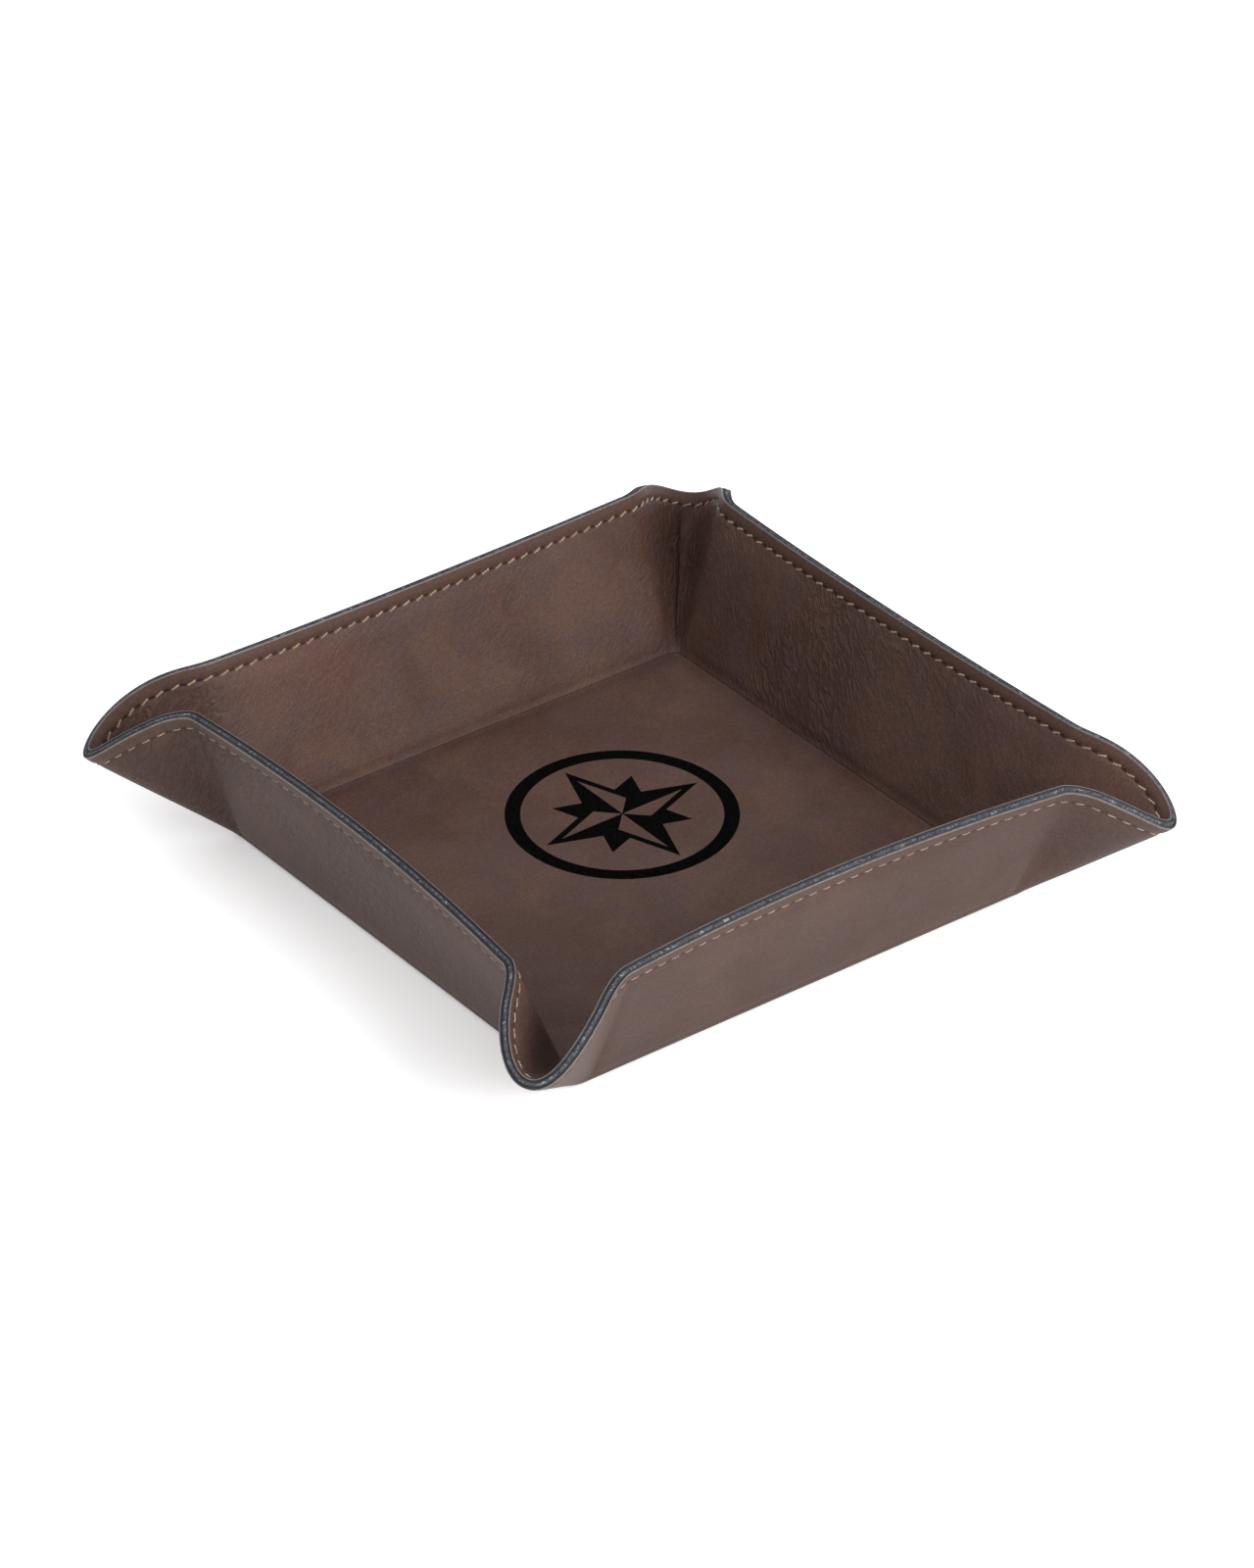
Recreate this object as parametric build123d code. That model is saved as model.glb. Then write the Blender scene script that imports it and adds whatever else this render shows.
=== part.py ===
from build123d import *
import math
import os

# A square catch-all tray formed from one flat sewn sheet: two leatherette skins over a felt filler
# with stiff boards in its windows. The four walls fold up and lean out, and the corners are left
# uncut, so each opens outwards into a pouring spout. Everything follows one middle surface, halfway
# through the sheet, and each layer is that surface moved in or out by its place in the stack.
# The origin is the centre of the underside, +Z is up, and sizes are in millimetres and degrees.

# The sheet's flat cut and the folds
floor_side = 138.0
wall_slant = 43.3
flat_corner_radius = 40.4
fold_corner_radius = 4.0
fold_reach = 1.8

# The layers
skin_thickness = 0.8
filler_thickness = 0.8
glue_film = 0.1

# The formed walls: how far each end leans out, on the wall before and the wall after each corner,
# anticlockwise from above: back, left, near and right corner. The rim bows in between the ends.
wall_leans = [(20.7, 24.9), (20.7, 19.8), (22.9, 22.8), (24.8, 24.6)]
rim_bow = 3.4

# The spouts: how steeply the bottom of each valley rises, and how far each is turned anticlockwise
# from the floor's diagonal by hand forming, for the same four corners
spout_rises = [36.4, 34.1, 33.7, 34.0]
spout_turns = [1.4, 11.4, -7.4, -3.8]
valley_round_share = 0.22
fold_round_share = 0.38
fold_stations = 4
slant_stations = 6
tip_crowding = 1.6
fold_level_shares = [0, 1 / 3, 2 / 3, 1]
nearby_share = 0.01

# The stiff boards
fold_clearance = 1.2
board_margin = 6.5
board_end_margin = 5.0
board_clearance = 0.3
window_overrun = 0.5

# The stitching
stitch_inset = 3.8
stitch_pitch = 4.2
stitch_length = 2.8
stitch_width = 0.75
stitch_height = 0.4
stitch_seat = 0.25
stitch_slant = 12.0

# Worked out from the sizes above
half_floor = floor_side / 2
stack = 2 * skin_thickness + filler_thickness + 2 * glue_film
middle_height = stack / 2
filler_face = filler_thickness / 2
skin_back = filler_face + glue_film
skin_face = skin_back + skin_thickness
up = Vector(0, 0, 1)


def blend(start, end, share):
    return start + (end - start) * share


def bezier(controls, share):
    """The point at this share of a Bezier curve."""
    while len(controls) > 1:
        controls = [blend(a, b, share) for a, b in zip(controls, controls[1:])]
    return controls[0]


def flat_reach(angle):
    """How far the flat sheet goes from the floor's corner, at an angle from one wall's square-on line."""
    angle = min(angle, math.pi / 2 - angle)
    set_back = wall_slant - flat_corner_radius
    if wall_slant * math.tan(angle) <= set_back:
        return wall_slant / math.cos(angle)
    along = set_back * (math.cos(angle) + math.sin(angle))
    return along + math.sqrt(along**2 - 2 * set_back**2 + flat_corner_radius**2)


def wall_ways(lean):
    """The way up a wall on +X that leans out by this much, and the way square out from it."""
    lean = math.radians(lean)
    return Vector(math.sin(lean), 0, math.cos(lean)), Vector(math.cos(lean), 0, -math.sin(lean))


def half_spout(lean, twist, rise, turn):
    """Unit directions from the floor's corner to the rim, from the wall on +X to the spout's tip."""
    wall_top, wall_out = wall_ways(lean)
    rise = math.radians(rise)
    way = math.radians(45 + turn)
    flare = (2 * rim_bow + wall_slant / 2 * math.radians(twist)) / half_floor
    along = (Vector(0, 1, 0) + wall_out * flare).normalized()
    tip = Vector(math.cos(rise) * math.cos(way), math.cos(rise) * math.sin(way), math.sin(rise))
    across = Vector(math.sin(way), -math.cos(way), 0)
    slant = [wall_top, wall_top, tip + across * valley_round_share, tip]
    fold = [wall_top - along * (fold_corner_radius / wall_slant), wall_top, bezier(slant, fold_round_share)]
    directions = [bezier(fold, i / fold_stations) for i in range(fold_stations)]
    for i in range(slant_stations + 1):
        eased = 1 - (1 - i / slant_stations) ** tip_crowding
        directions.append(bezier(slant, blend(fold_round_share, 1, eased)))
    return [direction.normalized() for direction in directions]


def spout_stations(index):
    """A corner's stations, as at +X +Y: the foot on the fold line, its outward way, and the rim."""
    lean, next_lean = wall_leans[index]
    twist = lean - wall_leans[index - 1][1]
    next_twist = next_lean - wall_leans[(index + 1) % 4][0]
    first = half_spout(lean, twist, spout_rises[index], spout_turns[index])
    second = half_spout(next_lean, next_twist, spout_rises[index], -spout_turns[index])
    directions = first + [Vector(d.Y, d.X, d.Z) for d in reversed(second)][1:]
    travel = [0]
    for a, b in zip(directions, directions[1:]):
        travel.append(travel[-1] + (b - a).length)
    start = -math.atan(fold_corner_radius / wall_slant)
    corner = Vector(half_floor, half_floor, middle_height)
    centre = corner - Vector(fold_corner_radius, fold_corner_radius, 0)
    stations = []
    for direction, gone in zip(directions, travel):
        share = gone / travel[-1]
        outward = Vector(1, 0, 0).rotate(Axis.Z, 90 * share)
        foot = centre + outward * fold_corner_radius
        rim = corner + direction * flat_reach(blend(start, math.pi / 2 - start, share))
        stations.append((foot, outward, rim, share))
    return stations


def on_station(station, height, inset):
    """A point of the middle surface: height 0 to 1 is the fold, 1 to 2 the wall, up to inset below its rim."""
    foot, outward, rim, _ = station
    rise = (rim - foot).normalized()
    top = foot + rise * fold_reach
    if height <= 1:
        return bezier([foot - outward * fold_reach, foot, top], height)
    return blend(top, rim - rise * inset, height - 1)


def moved(before, station, after, height, offset, inset=0):
    """The station's point at this height, moved square to the sheet, inwards where offset is over 0."""
    point = on_station(station, height, inset)
    if height == 0:
        return point + up * offset
    below = on_station(station, height - nearby_share, inset)
    ring_way = on_station(after, height, inset) - on_station(before, height, inset)
    return point + (point - below).cross(ring_way).normalized() * offset


def turned(station, quarters):
    foot, outward, rim, share = station
    angle = 90 * quarters
    return (foot.rotate(Axis.Z, angle), outward.rotate(Axis.Z, angle), rim.rotate(Axis.Z, angle), share)


def wall_station(index, along):
    """A station on the wall that follows a corner, this far along it from its middle."""
    share = (along / (half_floor - fold_corner_radius) + 1) / 2
    wall_top, wall_out = wall_ways(blend(wall_leans[index][1], wall_leans[(index + 1) % 4][0], share))
    foot = Vector(half_floor, along, middle_height)
    bow = rim_bow * (1 - (along / half_floor) ** 2)
    return turned((foot, Vector(1, 0, 0), foot + wall_top * wall_slant - wall_out * bow, 0), index + 1)


def corner_run(index):
    """A corner's stations, with a station of the wall at each side to show which way the ring goes on."""
    stations = [turned(station, index) for station in spout_stations(index)]
    reach = half_floor - fold_corner_radius - (stations[1][2] - stations[0][2]).length
    return [wall_station(index - 1, reach)] + stations + [wall_station(index, -reach)]


corners = [corner_run(index) for index in range(4)]


def ring_rows(height, offset, inset=0):
    """The points of the four spouts at one height of one face of a layer."""
    rows = []
    for run in corners:
        rows.append([moved(a, b, c, height, offset, inset) for a, b, c in zip(run, run[1:], run[2:])])
    return rows


def ring_walls(rows, height, offset, inset=0):
    """The edges along the four walls that join those rows: straight in the fold, and bowed above it."""
    edges = []
    for index in range(4):
        start = rows[index][-1]
        end = rows[(index + 1) % 4][0]
        if height < 1:
            edges.append(Edge.make_line(start, end))
        else:
            middle = [wall_station(index, along) for along in (-fold_corner_radius, 0, fold_corner_radius)]
            edges.append(Edge.make_three_point_arc(start, moved(*middle, height, offset, inset), end))
    return edges


def ruled(edges, other_edges):
    return [Face.make_surface_from_curves(a, b) for a, b in zip(edges, other_edges)]


def band(place, other_place):
    """The faces between two rings: flat three-sided ones in the spouts, and one ruled face for each wall."""
    rows = ring_rows(*place)
    other_rows = ring_rows(*other_place)
    faces = ruled(ring_walls(rows, *place), ring_walls(other_rows, *other_place))
    for row, other in zip(rows, other_rows):
        for a, b, c, d in zip(row, row[1:], other[1:], other):
            faces.append(Face(Wire.make_polygon([a, b, c])))
            faces.append(Face(Wire.make_polygon([a, c, d])))
    return faces


def layer(inner_offset, outer_offset):
    """One full sheet of the stack, floor, folds, walls and spouts, between two offsets."""
    levels = fold_level_shares + [2]
    faces = band((2, inner_offset), (2, outer_offset))
    for offset in (inner_offset, outer_offset):
        faces.append(Face(Wire.make_polygon(sum(ring_rows(0, offset), []))))
        for lower, upper in zip(levels, levels[1:]):
            faces += band((lower, offset), (upper, offset))
    return Solid(Shell(faces))


def seam(offset):
    """The stitch line on one face of the sheet, as a smooth edge for each spout and each wall."""
    rows = ring_rows(2, offset, stitch_inset)
    return [Edge.make_spline(row) for row in rows] + ring_walls(rows, 2, offset, stitch_inset)


def base_plate(grow, half_thickness):
    """The floor's board, or with grow over 0 the window for it."""
    side = floor_side - 2 * (fold_reach + fold_clearance - grow)
    plate = Pos(0, 0, middle_height) * Box(side, side, 2 * half_thickness)
    return fillet(plate.edges().filter_by(Axis.Z), fold_corner_radius + grow).solid()


def wall_plate(index, grow, half_thickness):
    """A wall's board, or with grow over 0 the window for it, following the leaning and bowed wall."""
    reach = half_floor - board_end_margin + grow
    wall_run = wall_slant - fold_reach
    low = 1 + (fold_clearance - grow) / wall_run
    high = 2 - (board_margin - grow) / wall_run
    skins = []
    for offset in (-half_thickness, half_thickness):
        rows = []
        for height in (low, high):
            points = []
            for along in (-reach, 0, reach):
                places = [along - fold_corner_radius, along, along + fold_corner_radius]
                points.append(moved(*[wall_station(index, place) for place in places], height, offset))
            rows.append(Edge.make_three_point_arc(*points))
        skins.append(rows)
    faces = [Face.make_surface_from_curves(*rows) for rows in skins]
    faces += ruled(skins[0], skins[1])
    for end in (0, 1):
        sides = [Edge.make_line(low_edge @ end, high_edge @ end) for low_edge, high_edge in skins]
        faces.append(Face.make_surface_from_curves(*sides))
    return Solid(Shell(faces))


def stitching(face_offset, slant):
    """Separate stitches along the rim, seated just clear of the skin at this offset."""
    clear = stitch_seat + stitch_height / 2
    place = face_offset + math.copysign(clear, face_offset)
    stitches = []
    for line, middle in zip(seam(place), seam(0)):
        count = round(middle.length / stitch_pitch)
        for number in range(count):
            share = (number + 0.5) / count
            point = line @ share
            square = point - middle.closest_points(point)[0]
            seat = Plane(origin=point, x_dir=line % share, z_dir=square) * Rot(0, 0, slant)
            stitches.append((seat * Box(stitch_length, stitch_width, stitch_height)).solid())
    return Compound(stitches)


inner_skin = layer(skin_face, skin_back)
outer_skin = layer(-skin_back, -skin_face)
edge_filler = layer(filler_face, -filler_face)
edge_filler -= base_plate(board_clearance, filler_face + window_overrun)
parts = {
    "inner_skin": inner_skin,
    "outer_skin": outer_skin,
    "base_board": base_plate(0, filler_face),
    "inner_stitching": stitching(skin_face, stitch_slant),
    "outer_stitching": stitching(-skin_face, 0),
}
for index, side in enumerate(["back", "left", "front", "right"]):
    edge_filler -= wall_plate(index, board_clearance, filler_face + window_overrun)
    parts[side + "_board"] = wall_plate(index, 0, filler_face)
parts["edge_filler"] = edge_filler

os.makedirs("parts", exist_ok=True)
for name, shape in parts.items():
    export_step(shape, "parts/" + name + ".step")
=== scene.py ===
import math

import bmesh
import bpy
import numpy as np
from mathutils import Matrix, Vector


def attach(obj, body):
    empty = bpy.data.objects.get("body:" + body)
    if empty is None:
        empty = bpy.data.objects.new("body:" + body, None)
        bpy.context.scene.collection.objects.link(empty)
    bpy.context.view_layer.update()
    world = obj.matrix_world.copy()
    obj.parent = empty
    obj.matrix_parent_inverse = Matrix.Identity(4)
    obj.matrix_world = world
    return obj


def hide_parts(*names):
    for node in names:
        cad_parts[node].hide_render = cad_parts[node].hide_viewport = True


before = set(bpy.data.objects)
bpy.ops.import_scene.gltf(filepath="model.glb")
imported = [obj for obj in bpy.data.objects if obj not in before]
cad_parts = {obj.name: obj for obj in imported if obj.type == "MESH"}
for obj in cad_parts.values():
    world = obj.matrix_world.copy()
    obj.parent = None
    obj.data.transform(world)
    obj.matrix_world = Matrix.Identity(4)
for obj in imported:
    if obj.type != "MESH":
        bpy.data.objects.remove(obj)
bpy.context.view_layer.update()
mm = 0.001

# The studio: a plain white floor that glows a little like a light table, a broad soft key light square on
# to the front wall, a weak light high on the left and a pale sky. The camera stands where the photograph
# was taken, with a long lens, looking down across the near spout.
camera_turn = math.radians(-37.55)
camera_height = math.radians(33.35)
camera_roll = math.radians(0.19)
camera_aim_up = math.radians(0.584)
camera_distance = 1.9257
camera_lens = 179.0
camera_reach = 20
floor_size = 8.0
floor_paint = (0.93, 0.93, 0.93, 1)
floor_glow = 0.27
sky_colour = (1.0, 1.0, 1.0, 1)
sky_strength = 0.9
key_place = Vector((0.25, -1.65, 0.92))
key_size = 1.1
key_power = 40.0
high_place = Vector((-1.2, 0.2, 1.8))
high_size = 1.1
high_power = 6.0


def node(tree, kind, inputs=None, **settings):
    """A new node with its settings made, and each input set to a value or linked from another socket."""
    made = tree.nodes.new(kind)
    for key, value in settings.items():
        setattr(made, key, value)
    for key, value in (inputs or {}).items():
        if isinstance(value, bpy.types.NodeSocket):
            tree.links.new(value, made.inputs[key])
        else:
            made.inputs[key].default_value = value
    return made


def blank_material(name):
    material = bpy.data.materials.new(name)
    material.use_nodes = True
    tree = material.node_tree
    tree.nodes.clear()
    return material, tree


def finish_material(tree, surface):
    """Ends a material in one Principled surface with these inputs."""
    shader = node(tree, "ShaderNodeBsdfPrincipled", surface)
    node(tree, "ShaderNodeOutputMaterial", {"Surface": shader.outputs["BSDF"]})


def put_in_scene(name, data):
    """A new object that shows this mesh, lamp or camera."""
    made = bpy.data.objects.new(name, data)
    bpy.context.scene.collection.objects.link(made)
    return made


def soft_light(name, place, size, power):
    """A square lamp that points at the middle of the tray's floor."""
    lamp = bpy.data.lights.new(name, "AREA")
    lamp.size = size
    lamp.energy = power
    held = put_in_scene(name, lamp)
    held.location = place
    held.rotation_euler = (-place).to_track_quat("-Z", "Y").to_euler()


floor_mesh = bpy.data.meshes.new("studio_floor")
reach = floor_size / 2
floor_mesh.from_pydata([(-reach, -reach, 0), (reach, -reach, 0), (reach, reach, 0), (-reach, reach, 0)],
                       [], [(0, 1, 2, 3)])
studio_floor = put_in_scene("studio_floor", floor_mesh)
floor_material, tree = blank_material("floor_paint")
finish_material(tree, {"Base Color": floor_paint, "Roughness": 0.9, "Specular IOR Level": 0.1,
                       "Emission Color": floor_paint, "Emission Strength": floor_glow})
floor_mesh.materials.append(floor_material)

soft_light("key_light", key_place, key_size, key_power)
soft_light("high_light", high_place, high_size, high_power)
world = bpy.data.worlds.new("sky")
world.use_nodes = True
sky = world.node_tree.nodes["Background"].inputs
sky["Color"].default_value = sky_colour
sky["Strength"].default_value = sky_strength
bpy.context.scene.world = world
bpy.context.scene.view_settings.view_transform = "Standard"

right_way = Vector((math.cos(camera_turn), math.sin(camera_turn), 0))
back_way = Vector((math.sin(camera_turn) * math.cos(camera_height),
                   -math.cos(camera_turn) * math.cos(camera_height), math.sin(camera_height)))
up_way = back_way.cross(right_way)
stand = Matrix((right_way, up_way, back_way)).transposed().to_4x4()
camera_data = bpy.data.cameras.new("photograph")
camera_data.lens = camera_lens
camera_data.clip_end = camera_reach
camera = put_in_scene("photograph", camera_data)
camera.matrix_world = (Matrix.Translation(back_way * camera_distance) @ stand
                       @ Matrix.Rotation(camera_roll, 4, "Z") @ Matrix.Rotation(camera_aim_up, 4, "X"))
bpy.context.scene.camera = camera

# The outer skin: one square of leatherette, the underside of the tray and the outside of its walls.
# It is cut with the rest of the flat stack, then the walls are folded up and the uncut corners pushed
# out by hand into four spouts. The same formed sheet, further in, gives every other layer its shape.
floor_side = 138 * mm
wall_slant = 43.3 * mm
flat_corner_radius = 40.4 * mm
fold_corner_radius = 4 * mm
fold_reach = 1.8 * mm
wall_leans = [(20.7, 24.9), (20.7, 19.8), (22.9, 22.8), (24.8, 24.6)]
rim_bow = 3.4 * mm
spout_rises = [36.4, 34.1, 33.7, 34.0]
spout_turns = [1.4, 11.4, -7.4, -3.8]
valley_round_share = 0.22
fold_round_share = 0.38
skin_face = 1.3 * mm
skin_back = 0.5 * mm
sheet_middle = 1.3 * mm
stitch_inset = 3.8 * mm
stitch_pitch = 4.2 * mm
columns_per_stitch = 5
fine_steps = 200
nearby_share = 0.01
half_floor = floor_side / 2


def unit(vectors):
    return vectors / np.linalg.norm(vectors, axis=-1, keepdims=True)


def bezier(controls, shares):
    """Points of a Bezier curve, one for each share; a control is a point or a row of points."""
    while len(controls) > 1:
        controls = [a + (b - a) * shares for a, b in zip(controls, controls[1:])]
    return controls[0]


def wall_ways(lean):
    """The way up a wall on +X that leans out by this many degrees, and the way square out from it."""
    lean = np.radians(lean)
    wall_top = np.stack([np.sin(lean), 0 * lean, np.cos(lean)], -1)
    wall_out = np.stack([np.cos(lean), 0 * lean, -np.sin(lean)], -1)
    return wall_top, wall_out


def half_spout(lean, twist, rise, turn):
    """Unit directions from the floor's corner to the rim, from the wall on +X to the spout's tip."""
    wall_top, wall_out = wall_ways(lean)
    rise = math.radians(rise)
    way = math.radians(45 + turn)
    flare = (2 * rim_bow + wall_slant / 2 * math.radians(twist)) / half_floor
    along = unit(np.array([0, 1, 0]) + wall_out * flare)
    level = np.array([math.cos(way), math.sin(way), 0])
    tip = level * math.cos(rise) + np.array([0, 0, math.sin(rise)])
    across = np.array([math.sin(way), -math.cos(way), 0])
    slant = [wall_top, wall_top, tip + across * valley_round_share, tip]
    steps = np.linspace(0, 1, fine_steps)[:, None]
    fold = [wall_top - along * fold_corner_radius / wall_slant, wall_top, bezier(slant, fold_round_share)]
    later = bezier(slant, fold_round_share + (1 - fold_round_share) * steps)
    return unit(np.concatenate([bezier(fold, steps)[:-1], later]))


def turned(points, quarters):
    """Points turned about the upright axis by quarter turns, anticlockwise from above."""
    x, y, z = points.T
    for _ in range(quarters % 4):
        x, y = -y, x
    return np.stack([x, y, z], 1)


def spout_lines(index):
    """Foot, outward way, rim and rim before folding, of the sheet round a corner, as at +X +Y."""
    lean, next_lean = wall_leans[index]
    twist = lean - wall_leans[index - 1][1]
    next_twist = next_lean - wall_leans[(index + 1) % 4][0]
    first = half_spout(lean, twist, spout_rises[index], spout_turns[index])
    second = half_spout(next_lean, next_twist, spout_rises[index], -spout_turns[index])
    directions = np.concatenate([first, second[::-1][1:, [1, 0, 2]]])
    travel = np.linalg.norm(np.diff(directions, axis=0), axis=1).cumsum()
    shares = np.concatenate([[0], travel / travel[-1]])
    outward = np.stack([np.cos(shares * math.pi / 2), np.sin(shares * math.pi / 2), 0 * shares], 1)
    corner = np.array([half_floor, half_floor, sheet_middle])
    foot = corner + (outward - np.array([1, 1, 0])) * fold_corner_radius
    start = -math.atan(fold_corner_radius / wall_slant)
    cut_angles = start + (math.pi / 2 - 2 * start) * shares
    angles = np.minimum(cut_angles, math.pi / 2 - cut_angles)
    set_back = wall_slant - flat_corner_radius
    along = set_back * (np.cos(angles) + np.sin(angles))
    round_reach = along + np.sqrt(along ** 2 - 2 * set_back ** 2 + flat_corner_radius ** 2)
    reach = np.where(wall_slant * np.tan(angles) <= set_back, wall_slant / np.cos(angles), round_reach)
    cut_way = np.stack([np.cos(cut_angles), np.sin(cut_angles), 0 * shares], 1)
    rim = corner + directions * reach[:, None]
    return foot, outward, rim, corner + cut_way * reach[:, None], 0 * shares + half_floor


def wall_lines(index):
    """Foot, outward way, rim and rim before folding along a wall, as on +X, and the way along it."""
    shares = np.linspace(0, 1, fine_steps)
    along = (2 * shares - 1) * (half_floor - fold_corner_radius)
    start_lean, end_lean = wall_leans[index][1], wall_leans[(index + 1) % 4][0]
    wall_top, wall_out = wall_ways(start_lean + (end_lean - start_lean) * shares)
    foot = np.stack([0 * along + half_floor, along, 0 * along + sheet_middle], 1)
    bow = rim_bow * (1 - (along / half_floor) ** 2)
    rim = foot + wall_top * wall_slant - wall_out * bow[:, None]
    outward = np.array([[1.0, 0, 0]] * len(along))
    return foot, outward, rim, foot + outward * wall_slant, along


feet, outwards, rims, cut_rims, alongs = [], [], [], [], []
spout_columns = []
for quarter in range(4):
    for lines, turns in ((spout_lines(quarter), quarter), (wall_lines(quarter), quarter + 1)):
        foot, outward, rim, cut_rim, along = lines
        seam = rim - unit(rim - foot) * stitch_inset
        gone = np.concatenate([[0], np.linalg.norm(np.diff(seam, axis=0), axis=1).cumsum()])
        count = round(gone[-1] / stitch_pitch) * columns_per_stitch
        wanted = np.arange(count) / count * gone[-1]
        for kept, line in ((feet, foot), (outwards, outward), (rims, rim), (cut_rims, cut_rim)):
            picked = np.stack([np.interp(wanted, gone, line[:, i]) for i in range(3)], 1)
            kept.append(turned(picked, turns))
        if turns == quarter:
            first_column = sum(len(part) for part in alongs)
            spout_columns.append((first_column, first_column + count))
        alongs.append(np.interp(wanted, gone, along))
feet = np.concatenate(feet)
outwards = unit(np.concatenate(outwards))
rims = np.concatenate(rims)
cut_ways = unit((np.concatenate(cut_rims) - feet)[:, :2])
alongs = np.concatenate(alongs)
columns = len(feet)
stitch_count = columns // columns_per_stitch
rises = unit(rims - feet)


def middle_ring(level, inset):
    """The middle of the sheet: -1 to 0 is the floor, 0 to 1 the fold, 1 to 2 the wall up to its inset."""
    top = feet + rises * fold_reach
    inner = feet - outwards * fold_reach
    if level < 0:
        return inner * np.array([1 + level, 1 + level, 1])
    if level <= 1:
        return bezier([inner, feet, top], level)
    return top + (rims - rises * inset - top) * (level - 1)


def sheet_square(level, inset):
    """The way square to the sheet, inwards and up."""
    if level <= 0:
        return np.array([[0, 0, 1.0]] * columns)
    here = middle_ring(level, inset)
    below = middle_ring(level - nearby_share, inset)
    ring_way = np.roll(here, -1, 0) - np.roll(here, 1, 0)
    return unit(np.cross(here - below, ring_way))


def below_rim(level, inset):
    """How far down the sheet a ring lies from the rim, for each column."""
    here = middle_ring(level, inset)
    if level > 1:
        return np.sum((rims - here) * rises, 1)
    top = middle_ring(1, 0)
    return np.linalg.norm(rims - top, axis=1) + np.linalg.norm(top - here, axis=1)


def cut_place(level, inset):
    """Where a ring's points lay on the flat sheet before it was folded, from the floor's middle."""
    here = middle_ring(level, inset)
    if level <= 0:
        return here[:, :2]
    gone = fold_reach * (2 * level - 1) if level <= 1 else np.linalg.norm(here - feet, axis=1)
    ways = outwards[:, :2] if level < 0.5 else cut_ways
    return feet[:, :2] + ways * np.broadcast_to(gone, (columns,))[:, None]


def ease(value, low, high):
    """From 0 at low to 1 at high, with a soft start and end."""
    share = np.clip((value - low) / (high - low), 0, 1)
    return share * share * (3 - 2 * share)


def sheet_ring(level, inset, offset):
    """One closed ring of points, offset square to the sheet by a number or a number for each column."""
    lift = np.broadcast_to(offset, (columns,))[:, None]
    return middle_ring(level, inset) + sheet_square(level, inset) * lift


board_end = 64 * mm
board_low = 2.4 * mm
board_high = 6.5 * mm
board_puff = 0.3 * mm
board_foot = 2.0 * mm
board_shoulder = 3 * mm
board_fade = 2 * mm
seam_press = 0.2 * mm
seam_width = 0.75 * mm
hole_press = 0.22 * mm
hole_width = 0.55 * mm
border_swell = 0.1 * mm
border_width = 1.1 * mm
slack_swell = 0.22 * mm
slack_waves = [(9, 1.3, 0, 0.5), (17, 0.4, 60, 0.3), (31, 2.1, -110, 0.2)]
slack_rim = 9 * mm
floor_slack = slack_swell * 0.5
floor_wave_across = 61
floor_wave_along = 47
pinch_spout = 0
pinch_share = 0.56
pinch_press = 0.55 * mm
pinch_sharp = 0.5 * mm
pinch_shade_width = 0.4 * mm
pinch_wide = 4.5 * mm
pinch_narrowest = 0.25
pinch_start = 1 * mm
pinch_full = 7 * mm
pinch_rim = 12 * mm


def floor_swell(x, y):
    """How far the floor's face stands off its plain height: swollen by the board, and slightly uneven."""
    edge = half_floor - np.maximum(np.abs(x), np.abs(y))
    swell = board_puff * ease(edge, board_low, board_low + board_shoulder)
    wave = np.sin(x * floor_wave_across + np.sin(y * floor_wave_along))
    return swell + floor_slack * wave * ease(edge, board_low, half_floor / 2)


def pinch(level, inset):
    """How far in the hard crease down the rear spout is pressed, and how much painted shade darkens it, by
    column.
    """
    here = middle_ring(level, inset)
    gone = np.concatenate([[0], np.linalg.norm(np.diff(here, axis=0), axis=1).cumsum()])
    low, high = spout_columns[pinch_spout]
    middle = np.interp(low + (high - low) * pinch_share, np.arange(columns), gone)
    away = gone - middle
    reach = np.linalg.norm(here - feet, axis=1)
    fade = ease(reach, pinch_start, pinch_full) * ease(below_rim(level, inset), 0, pinch_rim)
    wide = pinch_wide * np.clip(reach / wall_slant, pinch_narrowest, 1)
    press = np.where(away > 0, np.exp(-(away / pinch_sharp) ** 2), np.exp(-(away / wide) ** 2))
    inside = (np.arange(columns) >= low) & (np.arange(columns) <= high)
    return press * fade * inside, np.exp(-(away / pinch_shade_width) ** 2) * fade * inside


def face_swell(level, inset):
    """How far a skin's face stands off its plain offset: boards swell it and the seam presses it down."""
    if level <= 0:
        here = middle_ring(level, inset)
        return floor_swell(here[:, 0], here[:, 1])
    down = below_rim(level, inset)
    height = wall_slant - down
    swell = board_puff * ease(height, board_low, board_low + board_foot)
    swell = swell * ease(down, board_high - board_shoulder / 2, board_high + board_shoulder / 2)
    swell = swell * ease(board_end + board_fade - np.abs(alongs), 0, board_shoulder * 1.5)
    around = 2 * math.pi * np.arange(columns) / columns
    slack = 0
    for turns, start, drift, share in slack_waves:
        slack = slack + np.sin(around * turns + start + down * drift) * share
    swell = swell + slack_swell * slack * ease(height, board_low, wall_slant / 3) * ease(down, 0, slack_rim)
    swell = swell - seam_press * np.exp(-((down - stitch_inset) / seam_width) ** 2)
    number = np.arange(columns) / columns_per_stitch
    to_hole = np.abs((number + 0.5) % 1 - 0.5) * stitch_pitch
    hole = np.sqrt((down - stitch_inset) ** 2 + to_hole ** 2) / hole_width
    swell = swell - hole_press * np.exp(-hole ** 2)
    return swell + border_swell * np.exp(-((down - stitch_inset / 2) / border_width) ** 2)


def ring_faces(start, other):
    """Four-sided faces between two rings of points, given the number of each ring's first point."""
    faces = []
    for i in range(columns):
        after = (i + 1) % columns
        faces.append((start + i, start + after, other + after, other + i))
    return faces


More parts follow.
